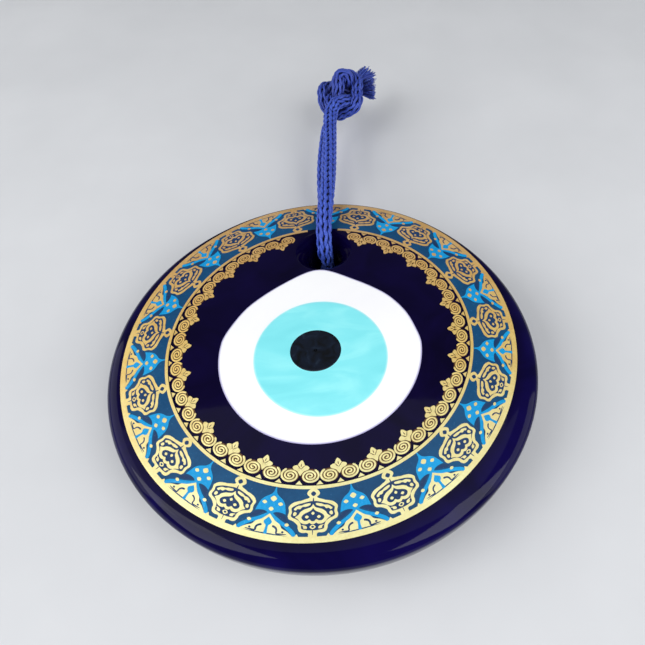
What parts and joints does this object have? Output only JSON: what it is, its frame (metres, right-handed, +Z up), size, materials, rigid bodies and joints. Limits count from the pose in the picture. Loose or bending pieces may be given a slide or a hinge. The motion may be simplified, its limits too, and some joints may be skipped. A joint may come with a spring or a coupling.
{
  "type": "evil eye ornament",
  "caption": "Hanging evil eye ornament: domed dark blue glass disc with an inlaid glass eye and a gold and teal ring decal, on a knitted cord loop tied in a knot.",
  "frame": {"origin": "the point under the knot, between the cord's two strands, where a peg or nail takes the loop", "axes": "+Z up, the face looks along -Y, +X to the right of the face"},
  "size_m": [0.1013, 0.0241, 0.1673],
  "materials": {
    "navy_glass": "glossy, nearly opaque dark blue glass",
    "white_glass": "glossy opaque white glass",
    "turquoise_glass": "glossy opaque turquoise glass with faint streaks",
    "black_glass": "glossy opaque black glass",
    "teal_ink": "fired enamel ink, satin",
    "blue_ink": "fired enamel ink, satin",
    "gold": "fired liquid gold, bright",
    "cord": "knitted polyester cord"
  },
  "bodies": {
    "cord_top": {"cord_knot": "cord", "cord_neck_front": "cord", "cord_neck_back": "cord", "cord_tail_front": "cord", "cord_tail_back": "cord"},
    "loop": {"cord_loop": "cord"},
    "disc": {"glass_disc": "navy_glass", "white_glass_drop": "white_glass", "turquoise_glass_iris": "turquoise_glass", "black_glass_pupil": "black_glass", "decal_teal_band": "teal_ink", "decal_gold_border": "gold", "decal_gold_line": "gold", "decal_gold_lace": "gold", "decal_medallion_01": "gold", "decal_floret_01": "blue_ink", "decal_medallion_02": "gold", "decal_floret_02": "blue_ink", "decal_medallion_03": "gold", "decal_floret_03": "blue_ink", "decal_medallion_04": "gold", "decal_floret_04": "blue_ink", "decal_medallion_05": "gold", "decal_floret_05": "blue_ink", "decal_medallion_06": "gold", "decal_floret_06": "blue_ink", "decal_medallion_07": "gold", "decal_floret_07": "blue_ink", "decal_medallion_08": "gold", "decal_floret_08": "blue_ink", "decal_medallion_09": "gold", "decal_floret_09": "blue_ink", "decal_medallion_10": "gold", "decal_floret_10": "blue_ink", "decal_medallion_11": "gold", "decal_floret_11": "blue_ink", "decal_medallion_12": "gold", "decal_floret_12": "blue_ink", "decal_medallion_13": "gold", "decal_floret_13": "blue_ink", "decal_medallion_14": "gold", "decal_floret_14": "blue_ink", "decal_medallion_15": "gold", "decal_floret_15": "blue_ink"}
  },
  "joints": [
    {"name": "loop_swing", "type": "hinge", "parent": "cord_top", "child": "loop", "pos_m": [0, 0, 0], "axis": [0, 1, 0], "range_deg": [-30, 30]},
    {"name": "disc_swing", "type": "hinge", "parent": "loop", "child": "disc", "pos_m": [0, 0, -0.0601], "axis": [0, 1, 0], "range_deg": [-45, 45]}
  ]
}
